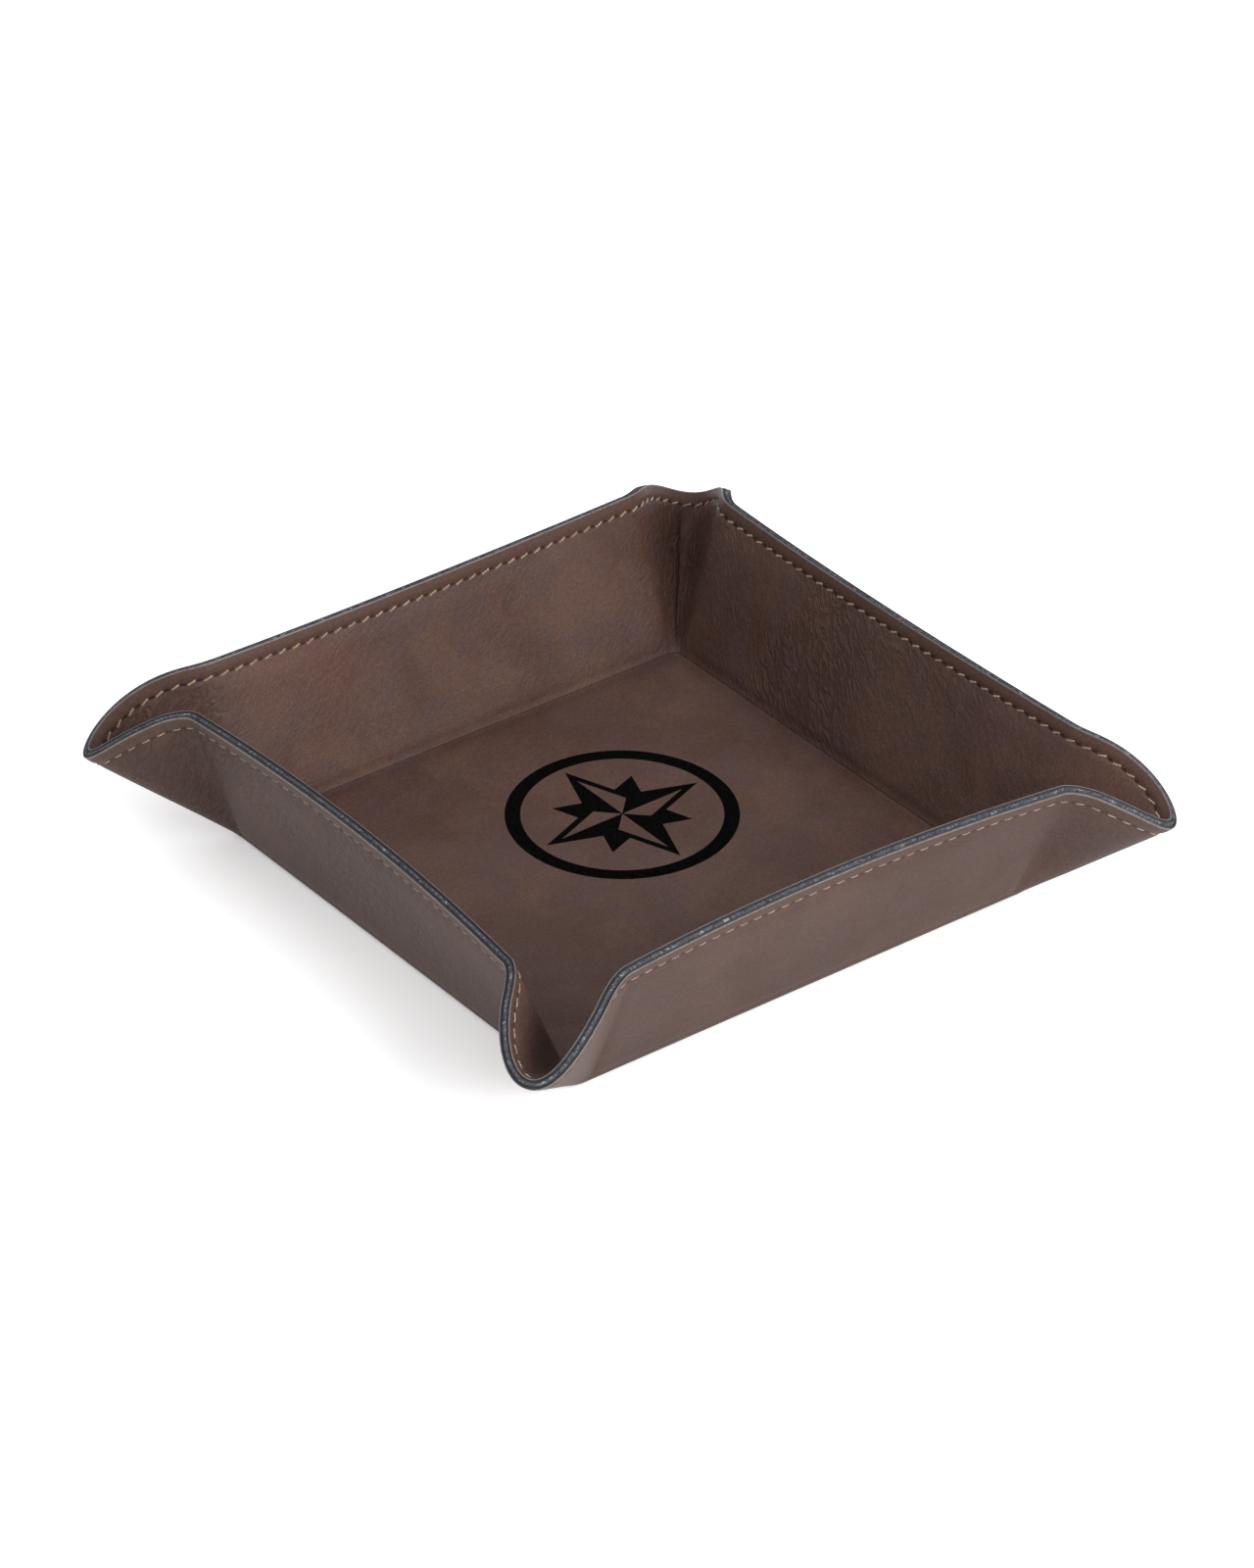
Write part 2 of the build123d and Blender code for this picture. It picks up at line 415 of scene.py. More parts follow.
floor_levels = [-0.94, -0.82, -0.68, -0.54, -0.4, -0.28, -0.18, -0.11, -0.07, -0.045, -0.025, -0.01, 0]
fold_levels = [0.12, 0.24, 0.34, 0.42, 0.46, 0.5, 0.54, 0.58, 0.66, 0.78, 0.9, 1.0]
wall_levels = [1.008, 1.018, 1.03, 1.045, 1.065, 1.1, 1.15, 1.21, 1.28, 1.36, 1.45, 1.54, 1.63, 1.72, 1.8,
               1.87, 1.93]
low_border = 7.4 * mm
border_insets = [7.4, 6.6, 5.9, 5.3, 4.85, 4.5, 4.2, 3.95, 3.65, 3.4, 3.1, 2.7, 2.2, 1.7, 1.2, 0.75, 0.42]
skin_edge = [(0.2, 1.29), (0.05, 1.24), (0.0, 1.16), (0.05, 1.04), (0.2, 0.98), (0.5, 0.9), (0.55, 0.55)]
edge_highlight_rows = 4
back_levels = [2, 1.5, 1, 0.5, 0]
back_inset = 0.4 * mm
fold_calm_low = 0.6
fold_calm_high = 1.1
# The fold's crease: its width, a thin line of painted shade where the floor meets the fold, and how deep
# the groove is pressed.
crease_share = 0.12
crease_floor_share = 0.02
crease_floor_shade = 0.2
crease_press = 0.22 * mm


def turn_faces_out(mesh):
    work = bmesh.new()
    work.from_mesh(mesh)
    bmesh.ops.recalc_face_normals(work, faces=work.faces)
    work.to_mesh(mesh)
    work.free()


def make_piece(name, points, faces, slots, materials):
    """A smooth mesh object from points and faces, with its faces turned outwards."""
    mesh = bpy.data.meshes.new(name)
    mesh.from_pydata([tuple(point) for point in points], [], faces)
    for material in materials:
        mesh.materials.append(material)
    mesh.polygons.foreach_set("material_index", slots)
    mesh.polygons.foreach_set("use_smooth", [True] * len(faces))
    turn_faces_out(mesh)
    return put_in_scene(name, mesh)


def map_skin(mesh, downs, cuts, painted_crease_shades):
    """Gives a skin its two maps, the seam's and the flat sheet's, and the painted shade along its creases.
    """
    corner = np.zeros(len(mesh.loops), int)
    mesh.loops.foreach_get("vertex_index", corner)
    starts = np.zeros(len(mesh.polygons), int)
    mesh.polygons.foreach_get("loop_start", starts)
    sides = np.diff(np.append(starts, len(corner)))
    column = corner % columns
    last_column = np.repeat(np.maximum.reduceat(column, starts), sides) == columns - 1
    along = np.where((column == 0) & last_column, columns, column) / columns_per_stitch * stitch_pitch
    seam_map = mesh.uv_layers.new(name="seam_map")
    seam_map.data.foreach_set("uv", np.stack([along, downs[corner]], 1).ravel())
    cut_map = mesh.uv_layers.new(name="cut_map")
    cut_map.data.foreach_set("uv", cuts[corner].ravel())
    crease_and_painted_shade = mesh.attributes.new("crease_and_painted_shade", "FLOAT", "POINT")
    crease_and_painted_shade.data.foreach_set("value", painted_crease_shades)


def skin_mesh(name, side, materials):
    """A whole skin, closed: its seen face, its cut edge round the rim, and its plain back."""
    rings, downs, cuts, painted_crease_shades, kinds = [], [], [], [], []

    def add(level, inset, offset, kind, crease_and_painted_shade=0.0):
        rings.append(sheet_ring(level, inset, side * offset))
        downs.append(below_rim(level, inset))
        cuts.append(cut_place(level, inset))
        painted_crease_shades.append(np.broadcast_to(crease_and_painted_shade, (columns,)))
        kinds.append(kind)

    for level in floor_levels:
        swell = face_swell(level, 0) if side > 0 else 0
        # A thin line of painted shade where the floor meets the fold, on both skins.
        floor_edge_shade = crease_floor_shade * math.exp(-(level / crease_floor_share) ** 2)
        add(level, 0, skin_face + swell, 0, floor_edge_shade)
    for level in fold_levels + wall_levels:
        up_wall = ease(np.array(level), fold_calm_low, fold_calm_high)
        swell = face_swell(level, low_border) * up_wall
        crease_and_painted_shade = 0.0
        if side > 0:
            # On the inner skin the fold is pressed into a groove, and the same profile paints shade along
            # it.
            crease_and_painted_shade = math.exp(-((level - 0.5) / crease_share) ** 2)
            swell = swell + face_swell(0, 0) * (1 - up_wall) - crease_press * crease_and_painted_shade
            # The rear spout's pinch: a pressed crease with painted shade along it.
            pressed, shaded = pinch(level, low_border)
            swell = swell - pinch_press * pressed
            crease_and_painted_shade = np.maximum(crease_and_painted_shade, shaded)
        add(level, low_border, skin_face + swell, 0, crease_and_painted_shade)
    for inset in border_insets:
        pressed, shaded = pinch(2, inset * mm) if side > 0 else (0, 0)
        add(2, inset * mm, skin_face + face_swell(2, inset * mm) - pinch_press * pressed, 0, shaded)
    # The cut edge's first rows, round its outer side, take a pale painted highlight.
    for number, (inset, offset) in enumerate(skin_edge):
        add(2, inset * mm, offset * mm, 1 if number < edge_highlight_rows else 2)
    for level in back_levels:
        add(level, back_inset if level == 2 else low_border, skin_back, 3)
    poles = [[[0, 0, rings[0][0][2]]], [[0, 0, rings[-1][0][2]]]]
    points = np.concatenate(rings + poles)
    faces, slots = [], []
    for row in range(len(rings) - 1):
        faces += ring_faces(row * columns, (row + 1) * columns)
        slots += [kinds[row + 1]] * columns
    last = (len(rings) - 1) * columns
    for i in range(columns):
        after = (i + 1) % columns
        faces += [(len(points) - 2, after, i), (last + i, last + after, len(points) - 1)]
        slots += [0, 3]
    piece = make_piece(name, points, faces, slots, materials)
    downs = np.concatenate(downs + [[half_floor, half_floor]])
    cuts = np.concatenate(cuts + [[[0, 0], [0, 0]]])
    map_skin(piece.data, downs, cuts, np.concatenate(painted_crease_shades + [[0, 0]]))
    return piece


def srgb(red, green, blue):
    """A colour given as the eye sees it, 0 to 255, as the light values that a material takes."""
    shares = [value / 255 for value in (red, green, blue)]
    return tuple(s / 12.92 if s <= 0.04045 else ((s + 0.055) / 1.055) ** 2.4 for s in shares) + (1,)


def math_node(tree, operation, *values):
    return node(tree, "ShaderNodeMath", dict(enumerate(values)), operation=operation).outputs[0]


def product(tree, first, *others):
    """All these values multiplied together."""
    for other in others:
        first = math_node(tree, "MULTIPLY", first, other)
    return first


def between(tree, share, low, high):
    """Turns a share from 0 to 1 into a value from low to high."""
    return math_node(tree, "MULTIPLY_ADD", share, high - low, low)


def ramp(tree, value, low, high):
    """Turns a value into 0 below low and 1 above high, with a soft step between."""
    mapped = node(tree, "ShaderNodeMapRange", {"Value": value, "From Min": low, "From Max": high},
                  interpolation_type="SMOOTHSTEP")
    return mapped.outputs["Result"]


def mix_colours(tree, share, first, second, way="MIX"):
    mix = node(tree, "ShaderNodeMix", {0: share, 6: first, 7: second}, data_type="RGBA", blend_type=way)
    return mix.outputs[2]


def noise(tree, coordinates, scale, detail=2.0, roughness=0.5, distortion=0.0, shift=(0, 0, 0),
          stretch=(1, 1, 1), turn=0.0):
    """Soft noise; stretch makes its features longer along the axes of a frame turned by this angle."""
    placing = {"Vector": coordinates, "Location": shift, "Rotation": (0, 0, turn), "Scale": stretch}
    mapped = node(tree, "ShaderNodeMapping", placing, vector_type="TEXTURE")
    inputs = {"Vector": mapped.outputs["Vector"], "Scale": scale, "Detail": detail, "Roughness": roughness,
              "Distortion": distortion}
    return node(tree, "ShaderNodeTexNoise", inputs, normalize=True).outputs["Fac"]


cloud_scale = 34.0
cool_scale = 52.0
patch_scale = 30.0
mottle_scale = 620.0
speck_scale = 1500.0
pore_scale = 1250.0
drawn_scale = 26.0
cool_share = 0.6
border_share = 0.75
worn_least = 0.12
worn_most = 0.54
speck_shade = 0.17
mottle_shade = 0.07
wrinkle_shade = 0.22
crease_shade = 0.42
wrinkle_turn = math.radians(38)
wrinkle_stretch = (6.5 * mm, 2.7 * mm, 1)
wrinkle_depth = 3.0
pore_depth = 0.35
speck_depth = 0.25
# The needle slots' size, and the dark painted shade put inside them.
hole_half_length = 0.8 * mm
hole_half_width = 0.4 * mm
hole_shade_tone = srgb(30, 19, 15)


def seam_holes(tree, seam_split):
    """1 inside the needle slots along the seam, 0 outside, by the seam's own map."""
    nearest = math_node(tree, "PINGPONG", math_node(tree, "DIVIDE", seam_split["X"], stitch_pitch), 0.5)
    across = math_node(tree, "MULTIPLY", nearest, stitch_pitch / hole_half_length)
    off_seam = math_node(tree, "SUBTRACT", seam_split["Y"], stitch_inset)
    off_seam = math_node(tree, "DIVIDE", off_seam, hole_half_width)
    spread = math_node(tree, "ADD", product(tree, across, across), product(tree, off_seam, off_seam))
    return math_node(tree, "SUBTRACT", 1.0, ramp(tree, spread, 0.55, 1.25))


def drawn_wrinkles(tree, flat, flat_split, down, border):
    """Where the sheet is drawn into fine wrinkles: the side walls more than the others, the rear more
    than the front, and hardly at all on the floor and between the seam and the rim."""
    ways = noise(tree, flat, 1.0, 1.5, 0.45, 1.2, stretch=wrinkle_stretch, turn=wrinkle_turn)
    off_line = math_node(tree, "ABSOLUTE", math_node(tree, "SUBTRACT", ways, 0.5))
    lines = math_node(tree, "SUBTRACT", 1.0, ramp(tree, off_line, 0.0, 0.17))
    drawn = noise(tree, flat, drawn_scale, 2.0, 0.5, 0.2, shift=(-0.05, -0.4, 0.0))
    drawn = between(tree, ramp(tree, drawn, 0.38, 0.56), 0.2, 1.0)
    off_floor = between(tree, ramp(tree, down, wall_slant - 3 * mm, wall_slant + 6 * mm), 1.0, 0.2)
    across = math_node(tree, "ABSOLUTE", flat_split["X"])
    sideways = between(tree, ramp(tree, across, half_floor - 12 * mm, half_floor + 8 * mm), 0.24, 1.0)
    rearward = between(tree, ramp(tree, flat_split["Y"], -0.8 * half_floor, 0.1 * half_floor), 0.35, 1.0)
    return product(tree, lines, drawn, off_floor, sideways, rearward, between(tree, border, 1.0, 0.2))


def leatherette(name, tones, cool_tone, border_tone, wear_tone, hole_shade_share, wrinkle_share):
    """Embossed, semi-matte leatherette: mottled browns, a fine pebble grain and faint drawn wrinkles, with
    painted shade in the wrinkle lines, the creases and the needle slots.
    """
    material, tree = blank_material(name)
    flat = node(tree, "ShaderNodeUVMap", uv_map="cut_map").outputs["UV"]
    flat_split = node(tree, "ShaderNodeSeparateXYZ", {0: flat}).outputs
    seam = node(tree, "ShaderNodeUVMap", uv_map="seam_map").outputs["UV"]
    seam_split = node(tree, "ShaderNodeSeparateXYZ", {0: seam}).outputs
    down = seam_split["Y"]
    crease_and_painted_shade = node(tree, "ShaderNodeAttribute", attribute_name="crease_and_painted_shade").outputs["Fac"]
    clouds = noise(tree, flat, cloud_scale, 6.0, 0.62, 0.5)
    cool_clouds = noise(tree, flat, cool_scale, 5.0, 0.65, 0.8, shift=(0.7, 0.2, 0.3))
    patches = noise(tree, flat, patch_scale, 5.0, 0.6, 0.5, shift=(-0.31, -0.12, -0.05))
    mottle = noise(tree, flat, mottle_scale, 3.0, 0.65, 0.4, shift=(0.2, -0.6, 0.1))
    specks = noise(tree, flat, speck_scale, 2.0, 0.6)
    pores = node(tree, "ShaderNodeTexVoronoi", {"Vector": flat, "Scale": pore_scale, "Smoothness": 0.6},
                 feature="SMOOTH_F1").outputs["Distance"]

    colour = mix_colours(tree, ramp(tree, clouds, 0.38, 0.64), tones[0], tones[1])
    cool = product(tree, ramp(tree, cool_clouds, 0.44, 0.62), cool_share)
    colour = mix_colours(tree, cool, colour, cool_tone)
    handled = ramp(tree, flat_split["Y"], 0.8 * half_floor, 1.1 * half_floor)
    worn = product(tree, ramp(tree, patches, 0.5, 0.68), ramp(tree, mottle, 0.2, 0.75),
                   between(tree, handled, worn_least, worn_most))
    colour = mix_colours(tree, worn, colour, wear_tone)
    border = ramp(tree, down, stitch_inset - 0.5 * mm, stitch_inset + 0.3 * mm)
    border = math_node(tree, "SUBTRACT", 1.0, border)
    colour = mix_colours(tree, product(tree, border, border_share), colour, border_tone)

    wrinkles = product(tree, drawn_wrinkles(tree, flat, flat_split, down, border), wrinkle_share)
    # Painted shade along the creases, broken up by the mottle.
    broken_crease_shade = product(tree, crease_and_painted_shade, between(tree, ramp(tree, mottle, 0.3, 0.6), 0.4, 1.0))
    # The specks and mottle are the grain's own tone; the wrinkle lines and the creases are darkened with
    # painted shade.
    shade = product(tree, between(tree, ramp(tree, specks, 0.3, 0.75), 1 - speck_shade, 1 + speck_shade),
                    between(tree, ramp(tree, mottle, 0.3, 0.7), 1 - mottle_shade, 1 + mottle_shade),
                    between(tree, wrinkles, 1.0, 1 - wrinkle_shade),
                    between(tree, broken_crease_shade, 1.0, 1 - crease_shade))
    shaded = node(tree, "ShaderNodeCombineXYZ", {0: shade, 1: shade, 2: shade}).outputs[0]
    colour = mix_colours(tree, 1.0, colour, shaded, "MULTIPLY")
    # Painted shade inside the needle slots.
    colour = mix_colours(tree, product(tree, seam_holes(tree, seam_split), hole_shade_share), colour, hole_shade_tone)

    height = math_node(tree, "MULTIPLY_ADD", pores, pore_depth, product(tree, specks, speck_depth))
    height = math_node(tree, "MULTIPLY_ADD", wrinkles, -wrinkle_depth, height)
    bump = node(tree, "ShaderNodeBump", {"Height": height, "Distance": 0.1 * mm, "Strength": 0.6})
    finish_material(tree, {"Base Color": colour, "Roughness": between(tree, clouds, 0.46, 0.62),
                           "Specular IOR Level": 0.16, "Normal": bump.outputs["Normal"]})
    return material


def cut_edge(name, tone, speck_tone, roughness):
    """A skin's cut edge, painted and rubbed smooth, with a little unevenness."""
    material, tree = blank_material(name)
    place = node(tree, "ShaderNodeTexCoord").outputs["Object"]
    uneven = noise(tree, place, 900.0, 3.0, 0.6)
    colour = mix_colours(tree, ramp(tree, uneven, 0.4, 0.7), tone, speck_tone)
    bump = node(tree, "ShaderNodeBump", {"Height": uneven, "Distance": 0.08 * mm, "Strength": 0.6})
    finish_material(tree, {"Base Color": colour, "Roughness": roughness, "Normal": bump.outputs["Normal"]})
    return material


# A pale painted highlight along the rounded outer part of each skin's cut edge; the rest of the edge is
# dark edge paint.
painted_edge_highlight = cut_edge("painted_edge_highlight", srgb(92, 86, 88), srgb(72, 67, 69), 0.5)
edge_paint = cut_edge("edge_paint", srgb(24, 24, 29), srgb(38, 38, 43), 0.6)
skin_lining = cut_edge("skin_lining", srgb(88, 80, 74), srgb(70, 63, 58), 0.8)
outer_leather = leatherette("outer_leatherette", (srgb(65, 47, 41), srgb(74, 55, 48)), srgb(67, 52, 50),
                            srgb(70, 53, 46), srgb(71, 49, 41), 0.3, 0.8)
outer_skin = skin_mesh("outer_skin_sheet", -1, [outer_leather, painted_edge_highlight, edge_paint, skin_lining])
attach(outer_skin, "root")
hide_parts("outer_skin")

# The edge filler: a thin grey felt between the skins, with a window for each board, glued down and cut
# flush at the rim, where it shows between the two skins' edges as a dark band with pale specks.
felt_face = 0.4 * mm
felt_window_low = 1.022
felt_window_level = 1.93
felt_rise = [(0.2, 0.4), (0.06, 0.36), (0.0, 0.2), (-0.02, 0.0), (0.0, -0.2), (0.06, -0.36), (0.2, -0.4)]
felt_levels = [0, 0.25, 0.5, 0.75, 1.0, felt_window_low, 1.3, 1.6, felt_window_level]
felt_insets = [6.2, 3.0, 0.5]
felt_window_end = 64.3 * mm
fibre_length = 0.06
fibre_seed = 7

felt_places = [(level, felt_insets[0]) for level in felt_levels] + [(2, inset) for inset in felt_insets]
felt_front = [sheet_ring(level, inset * mm, felt_face) for level, inset in felt_places]
felt_back = [sheet_ring(level, inset * mm, -felt_face) for level, inset in felt_places]
fibre_draws = np.random.default_rng(fibre_seed)
fibre_lift = fibre_draws.uniform(-fibre_length, fibre_length, (len(felt_rise), columns)) * mm
felt_tip = []
for lift, (inset, offset) in zip(fibre_lift, felt_rise):
    felt_tip.append(sheet_ring(2, inset * mm, offset * mm) - rises * lift[:, None])
felt_rings = felt_front + felt_tip + felt_back[::-1]
felt_faces = []
window_columns = np.abs(alongs) < felt_window_end
window_rows = range(felt_levels.index(felt_window_low), felt_levels.index(felt_window_level))
last_row = len(felt_rings) - 1
for row in range(last_row):
    level_row = min(row, last_row - 1 - row)
    for i, face in enumerate(ring_faces(row * columns, (row + 1) * columns)):
        after = (i + 1) % columns
        if level_row not in window_rows or not (window_columns[i] and window_columns[after]):
            felt_faces.append(face)
for i in range(columns):
    after = (i + 1) % columns
    felt_faces.append((last_row * columns + i, last_row * columns + after, after, i))
    if window_columns[i] and window_columns[after]:
        for row in (window_rows[0], window_rows[-1] + 1):
            other = (last_row - row) * columns
            felt_faces.append((row * columns + i, row * columns + after, other + after, other + i))
    before = (i - 1) % columns
    if window_columns[i] and window_columns[after] != window_columns[before]:
        for row in window_rows:
            here, there = row * columns, (last_row - row) * columns
            felt_faces.append((here + i, here + columns + i, there - columns + i, there + i))

felt_material, tree = blank_material("grey_felt")
place = node(tree, "ShaderNodeTexCoord").outputs["Object"]
fibres = noise(tree, place, 900.0, 4.0, 0.75, 1.5)
pale_specks = noise(tree, place, 480.0, 4.0, 0.75, 2.0, shift=(0.2, 0.4, 0.1))
felt_colour = mix_colours(tree, ramp(tree, fibres, 0.38, 0.64), srgb(44, 45, 50), srgb(84, 86, 93))
felt_colour = mix_colours(tree, ramp(tree, pale_specks, 0.55, 0.67), felt_colour, srgb(134, 136, 141))
felt_bump = node(tree, "ShaderNodeBump", {"Height": fibres, "Distance": 0.25 * mm, "Strength": 1.0})
finish_material(tree, {"Base Color": felt_colour, "Roughness": 0.95, "Specular IOR Level": 0.15,
                       "Normal": felt_bump.outputs["Normal"]})
edge_filler = make_piece("felt_filler", np.concatenate(felt_rings), felt_faces, [0] * len(felt_faces),
                         [felt_material])
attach(edge_filler, "root")
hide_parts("edge_filler")

# The stiff boards: grey card, one under the floor and one in each wall, laid in the filler's windows
# before the inner skin goes on. The card stops short of the folds, which is what lets the walls bend.
board_material, tree = blank_material("grey_card")
place = node(tree, "ShaderNodeTexCoord").outputs["Object"]
pulp = noise(tree, place, 700.0, 4.0, 0.7)
flecks = noise(tree, place, 240.0, 2.0, 0.6, 1.0, shift=(0.1, 0.3, 0))
card_colour = mix_colours(tree, ramp(tree, pulp, 0.35, 0.65), srgb(124, 121, 114), srgb(150, 146, 138))
card_colour = mix_colours(tree, ramp(tree, flecks, 0.66, 0.72), card_colour, srgb(96, 92, 88))
card_bump = node(tree, "ShaderNodeBump", {"Height": pulp, "Distance": 0.1 * mm, "Strength": 0.5})
finish_material(tree, {"Base Color": card_colour, "Roughness": 0.9, "Normal": card_bump.outputs["Normal"]})
for name in ["base_board", "back_board", "left_board", "front_board", "right_board"]:
    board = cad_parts[name].data
    board.materials.clear()
    board.materials.append(board_material)

# The inner skin: the square of leatherette that makes the tray's floor and the inside of its walls. It is
# glued over the boards last, so they show through as soft swells, and the folds round the floor crease it.
inner_leather = leatherette("inner_leatherette", (srgb(70, 49, 42), srgb(81, 60, 52)), srgb(72, 55, 54),
                            srgb(73, 52, 45), srgb(88, 55, 45), 0.82, 1.0)
inner_skin = skin_mesh("inner_skin_sheet", 1, [inner_leather, painted_edge_highlight, edge_paint, skin_lining])
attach(inner_skin, "root")
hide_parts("inner_skin")

# The floor's mark: a compass star in a ring, burnt matt black into the inner skin, set back towards the
# rear spout. Each long point is black on one side of its ridge and only outlined on the other, the short
# points behind are all black, and a small hub joins them.
mark_centre = (10 * mm, 15 * mm)
ring_outside = 29.3 * mm
ring_inside = 25.4 * mm
ring_sides = 120
long_tip = 23.6 * mm
short_tip = 17.6 * mm
shoulder = 6.4 * mm
short_root_share = 0.2
outline_share = 0.2
hub = 0.4 * mm
mark_rise = 0.03 * mm
mark_depth = 0.1 * mm
mark_steps = 6
mark_weld = 0.001 * mm

root_along = shoulder + (long_tip - shoulder) * short_root_share
root_off = shoulder * (1 - short_root_share)
line_tip = long_tip * (1 - outline_share)
line_shoulder = shoulder * (1 - outline_share)
hub_off = hub / math.sqrt(2)
short_off = short_tip / math.sqrt(2)
black_side = [(short_off, short_off), (shoulder, shoulder), (line_shoulder, line_shoulder),
              (hub_off, hub_off), (0, 0), (hub, 0), (line_tip, 0), (long_tip, 0)]
outlined_side = [(short_off, -short_off), (shoulder, -shoulder), (line_shoulder, -line_shoulder),
                 (line_tip, 0), (long_tip, 0)]
arm_faces = [[(0, 0), (hub_off, -hub_off), (hub, 0)]]
for side, edge in ((1, black_side), (-1, outlined_side)):
    arm_faces += [[(root_along, side * root_off), *ends] for ends in zip(edge, edge[1:])]
mark_points, mark_tops, mark_numbers = [], [], {}


def mark_point(place):
    """The number of the mark's point at this place, the same for all the faces that meet there."""
    key = tuple(round(value / mark_weld) for value in place)
    if key not in mark_numbers:
        mark_numbers[key] = len(mark_points)
        mark_points.append(place)
    return mark_numbers[key]


def mark_triangle(start, first, second):
    """Adds one face of an arm, in small triangles that can follow the swell of the floor."""
    grid = {}
    for i in range(mark_steps + 1):
        for j in range(mark_steps + 1 - i):
            grid[i, j] = mark_point(start + ((first - start) * i + (second - start) * j) / mark_steps)
    for i in range(mark_steps):
        for j in range(mark_steps - i):
            mark_tops.append((grid[i, j], grid[i + 1, j], grid[i, j + 1]))
            if i + j < mark_steps - 1:
                mark_tops.append((grid[i + 1, j], grid[i + 1, j + 1], grid[i, j + 1]))


for quarter in range(4):
    for corners in arm_faces:
        arm_corners = np.array([[x, y, 0] for x, y in corners])
        mark_triangle(*turned(arm_corners, quarter)[:, :2])
angles = np.arange(ring_sides) / ring_sides * math.tau
ring_ways = np.stack([np.cos(angles), np.sin(angles)], 1)
ring_rows = [[mark_point(way * radius) for way in ring_ways]
             for radius in (ring_outside, (ring_outside + ring_inside) / 2, ring_inside)]
for row, other in zip(ring_rows, ring_rows[1:]):
    for i in range(ring_sides):
        after = (i + 1) % ring_sides
        mark_tops.append((row[i], row[after], other[after], other[i]))

# The mark's underside repeats its top, and a side stands on every edge that only one top face has.
edge_uses = {}
for face in mark_tops:
    for edge in zip(face, face[1:] + face[:1]):
        edge_uses.setdefault(frozenset(edge), []).append(edge)
lower = len(mark_points)
mark_faces = mark_tops + [tuple(lower + point for point in face) for face in mark_tops]
for uses in edge_uses.values():
    if len(uses) == 1:
        a, b = uses[0]
        mark_faces.append((a, b, lower + b, lower + a))
mark_flat = np.array(mark_points) + mark_centre
top_heights = 2 * skin_face + floor_swell(mark_flat[:, 0], mark_flat[:, 1]) + mark_rise
mark_places = np.concatenate([np.column_stack([mark_flat, top_heights - drop]) for drop in (0, mark_depth)])

burnt_material, tree = blank_material("burnt_black")
place = node(tree, "ShaderNodeTexCoord").outputs["Object"]
soot = noise(tree, place, 1300.0, 3.0, 0.6)
soot_colour = mix_colours(tree, ramp(tree, soot, 0.35, 0.7), srgb(5, 5, 5), srgb(13, 12, 12))
soot_bump = node(tree, "ShaderNodeBump", {"Height": soot, "Distance": 0.06 * mm, "Strength": 0.5})
finish_material(tree, {"Base Color": soot_colour, "Roughness": 0.95, "Specular IOR Level": 0.0,
                       "Normal": soot_bump.outputs["Normal"]})
floor_mark = make_piece("floor_mark", mark_places, mark_faces, [0] * len(mark_faces), [burnt_material])
floor_mark.data.polygons.foreach_set("use_smooth", [False] * len(mark_faces))
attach(floor_mark, "root")

# The stitching: one lockstitch seam of tan twisted thread, 3.8 mm in from the rim, through all the
# layers. The stitches slant on the inner face and lie flatter and straighter on the outer one, and
# each ends in the needle hole that it shares with the next.
thread_steps = 8
thread_sides = 8
thread_turns = 1.5
thread_flatness = 0.75
end_dip = 0.42 * mm
end_steepness = 5.0
end_taper = 0.35
ply_waist = 0.65
ply_bulge = 0.7
slant_spread = 0.05
slant_seed = 11
soiled_share = 0.75
inner_seam = {"Stitch length": 2.5 * mm, "Thread width": 0.62 * mm, "Slant": math.radians(19)}
outer_seam = {"Stitch length": 2.5 * mm, "Thread width": 0.42 * mm, "Slant": math.radians(2)}
inner_lift = 0.12 * mm
outer_lift = 0.06 * mm


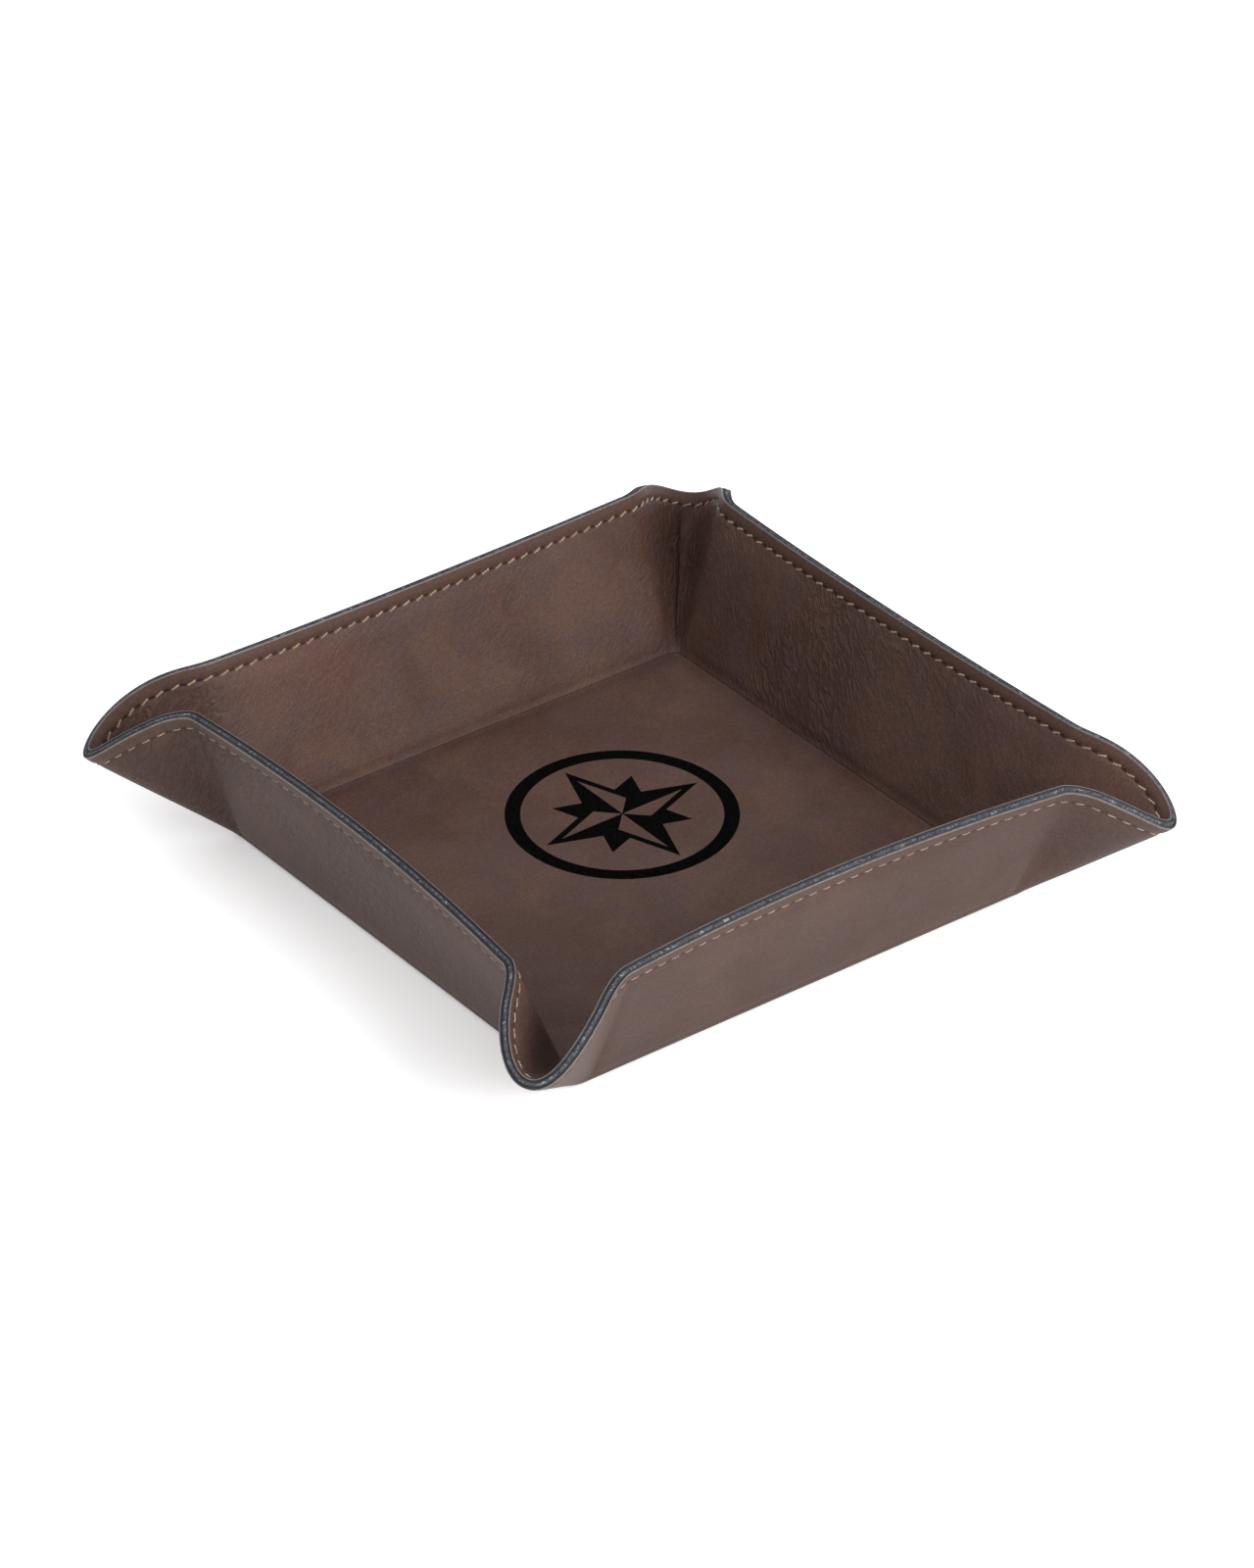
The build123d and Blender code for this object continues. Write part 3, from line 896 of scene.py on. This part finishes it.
def stitch_tree(name, material):
    """A geometry tree that lays one twisted stitch on every point, turned to the seam and the sheet."""
    tree = bpy.data.node_groups.new(name, "GeometryNodeTree")
    sizes = inner_seam | {"Flatness": thread_flatness, "End dip": end_dip, "Ply turns": thread_turns,
                          "Slant spread": slant_spread}
    tree.interface.new_socket("Seam points", in_out="INPUT", socket_type="NodeSocketGeometry")
    for key, value in sizes.items():
        tree.interface.new_socket(key, in_out="INPUT", socket_type="NodeSocketFloat").default_value = value
    tree.interface.new_socket("Stitches", in_out="OUTPUT", socket_type="NodeSocketGeometry")
    given = node(tree, "NodeGroupInput").outputs

    ends = {"Start": (-0.5, 0, 0), "End": (0.5, 0, 0)}
    line = node(tree, "GeometryNodeCurvePrimitiveLine", ends).outputs[0]
    line = node(tree, "GeometryNodeResampleCurve", {"Curve": line, "Count": thread_steps}).outputs[0]
    spot = node(tree, "GeometryNodeInputPosition").outputs[0]
    at = node(tree, "ShaderNodeSeparateXYZ", {0: spot}).outputs["X"]
    out = math_node(tree, "ABSOLUTE", product(tree, at, 2.0))
    steep = math_node(tree, "POWER", out, end_steepness)
    dip = product(tree, steep, given["End dip"], -1.0)
    length = product(tree, at, given["Stitch length"])
    moved_to = node(tree, "ShaderNodeCombineXYZ", {0: length, 2: dip}).outputs[0]
    twist = product(tree, at, given["Ply turns"], math.tau)
    taper = between(tree, steep, 1.0, 1 - end_taper)
    line = node(tree, "GeometryNodeSetCurveTilt", {"Curve": line, "Tilt": twist}).outputs[0]
    line = node(tree, "GeometryNodeSetCurveRadius", {"Curve": line, "Radius": taper}).outputs[0]
    line = node(tree, "GeometryNodeSetPosition", {"Geometry": line, "Position": moved_to}).outputs[0]

    round_line = node(tree, "GeometryNodeCurvePrimitiveCircle", {"Resolution": thread_sides, "Radius": 0.5})
    spot = node(tree, "GeometryNodeInputPosition").outputs[0]
    lobe = math_node(tree, "ABSOLUTE", node(tree, "ShaderNodeSeparateXYZ", {0: spot}).outputs["X"])
    size = product(tree, between(tree, lobe, ply_waist, ply_waist + ply_bulge), given["Thread width"])
    spot = node(tree, "ShaderNodeVectorMath", {0: spot, "Scale": size}, operation="SCALE").outputs[0]
    profile = {"Geometry": round_line.outputs["Curve"], "Position": spot}
    profile = node(tree, "GeometryNodeSetPosition", profile).outputs[0]
    thread = node(tree, "GeometryNodeCurveToMesh", {"Curve": line, "Profile Curve": profile,
                                                    "Fill Caps": True}).outputs[0]
    flat = node(tree, "ShaderNodeCombineXYZ", {0: 1.0, 1: 1.0, 2: given["Flatness"]}).outputs[0]
    thread = node(tree, "GeometryNodeTransform", {"Geometry": thread, "Scale": flat}).outputs[0]

    way, square = [node(tree, "GeometryNodeInputNamedAttribute", {"Name": key},
                        data_type="FLOAT_VECTOR").outputs[0] for key in ("way", "square")]
    turn = node(tree, "FunctionNodeAxesToRotation", {"Primary Axis": square, "Secondary Axis": way},
                primary_axis="Z", secondary_axis="X").outputs[0]
    low = math_node(tree, "SUBTRACT", given["Slant"], given["Slant spread"])
    high = math_node(tree, "ADD", given["Slant"], given["Slant spread"])
    slant = node(tree, "FunctionNodeRandomValue", {2: low, 3: high, "Seed": slant_seed},
                 data_type="FLOAT").outputs[1]
    lean = node(tree, "FunctionNodeAxisAngleToRotation", {"Axis": (0, 0, 1), "Angle": slant}).outputs[0]
    turn = node(tree, "FunctionNodeRotateRotation", {"Rotation": turn, "Rotate By": lean},
                rotation_space="LOCAL").outputs[0]
    laid = node(tree, "GeometryNodeInstanceOnPoints", {"Points": given["Seam points"], "Instance": thread,
                                                       "Rotation": turn}).outputs[0]
    real = node(tree, "GeometryNodeRealizeInstances", {"Geometry": laid}).outputs[0]
    real = node(tree, "GeometryNodeSetShadeSmooth", {"Geometry": real}).outputs[0]
    dressed = node(tree, "GeometryNodeSetMaterial", {"Geometry": real, "Material": material}).outputs[0]
    node(tree, "NodeGroupOutput", {0: dressed})
    return tree


def sew(name, side, lift, material, sizes):
    """One face's stitches as a plain mesh: a point for each stitch, dressed by the geometry tree."""
    here = sheet_ring(2, stitch_inset, side * (skin_face + face_swell(2, stitch_inset) + lift))
    squares = sheet_square(2, stitch_inset) * side
    before = np.arange(stitch_count) * columns_per_stitch + columns_per_stitch // 2
    points = (here[before] + here[before + 1]) / 2
    seam = bpy.data.meshes.new(name)
    seam.from_pydata([tuple(point) for point in points], [], [])
    for key, vectors in (("way", unit(here[before + 1] - here[before])), ("square", squares[before])):
        attribute = seam.attributes.new(key, "FLOAT_VECTOR", "POINT")
        attribute.data.foreach_set("vector", vectors.ravel())
    piece = put_in_scene(name, seam)
    modifier = piece.modifiers.new("stitches", "NODES")
    modifier.node_group = stitch_tree(name + "_tree", material)
    for item in modifier.node_group.interface.items_tree:
        if item.name in sizes:
            modifier[item.identifier] = sizes[item.name]
    graph = bpy.context.evaluated_depsgraph_get()
    sewn = bpy.data.meshes.new_from_object(piece.evaluated_get(graph))
    piece.modifiers.remove(modifier)
    piece.data = sewn
    turn_faces_out(sewn)
    return piece


def thread_material(name, tone, dark_tone):
    """Matte polyester thread, darker in places where it is soiled."""
    material, tree = blank_material(name)
    place = node(tree, "ShaderNodeTexCoord").outputs["Object"]
    fibres = noise(tree, place, 2600.0, 3.0, 0.6, 0.5)
    soiling = noise(tree, place, 230.0, 2.0, 0.5)
    colour = mix_colours(tree, ramp(tree, fibres, 0.35, 0.65), dark_tone, tone)
    soiled = product(tree, ramp(tree, soiling, 0.42, 0.62), soiled_share)
    colour = mix_colours(tree, soiled, colour, dark_tone)
    bump = node(tree, "ShaderNodeBump", {"Height": fibres, "Distance": 0.08 * mm, "Strength": 0.8})
    finish_material(tree, {"Base Color": colour, "Roughness": 0.6, "Sheen Weight": 0.3,
                           "Normal": bump.outputs["Normal"]})
    return material


# The same thread shows on both faces; the outer thread is given darker tones as painted shade, since the
# outer walls stand more in shade.
inner_thread = thread_material("inner_thread", srgb(172, 146, 117), srgb(112, 90, 72))
shaded_outer_thread = thread_material("shaded_outer_thread", srgb(160, 136, 110), srgb(112, 93, 78))
inner_stitching = sew("inner_seam", 1, inner_lift, inner_thread, inner_seam)
outer_stitching = sew("outer_seam", -1, outer_lift, shaded_outer_thread, outer_seam)
for piece, node_name in ((inner_stitching, "inner_stitching"), (outer_stitching, "outer_stitching")):
    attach(piece, "root")
    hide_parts(node_name)
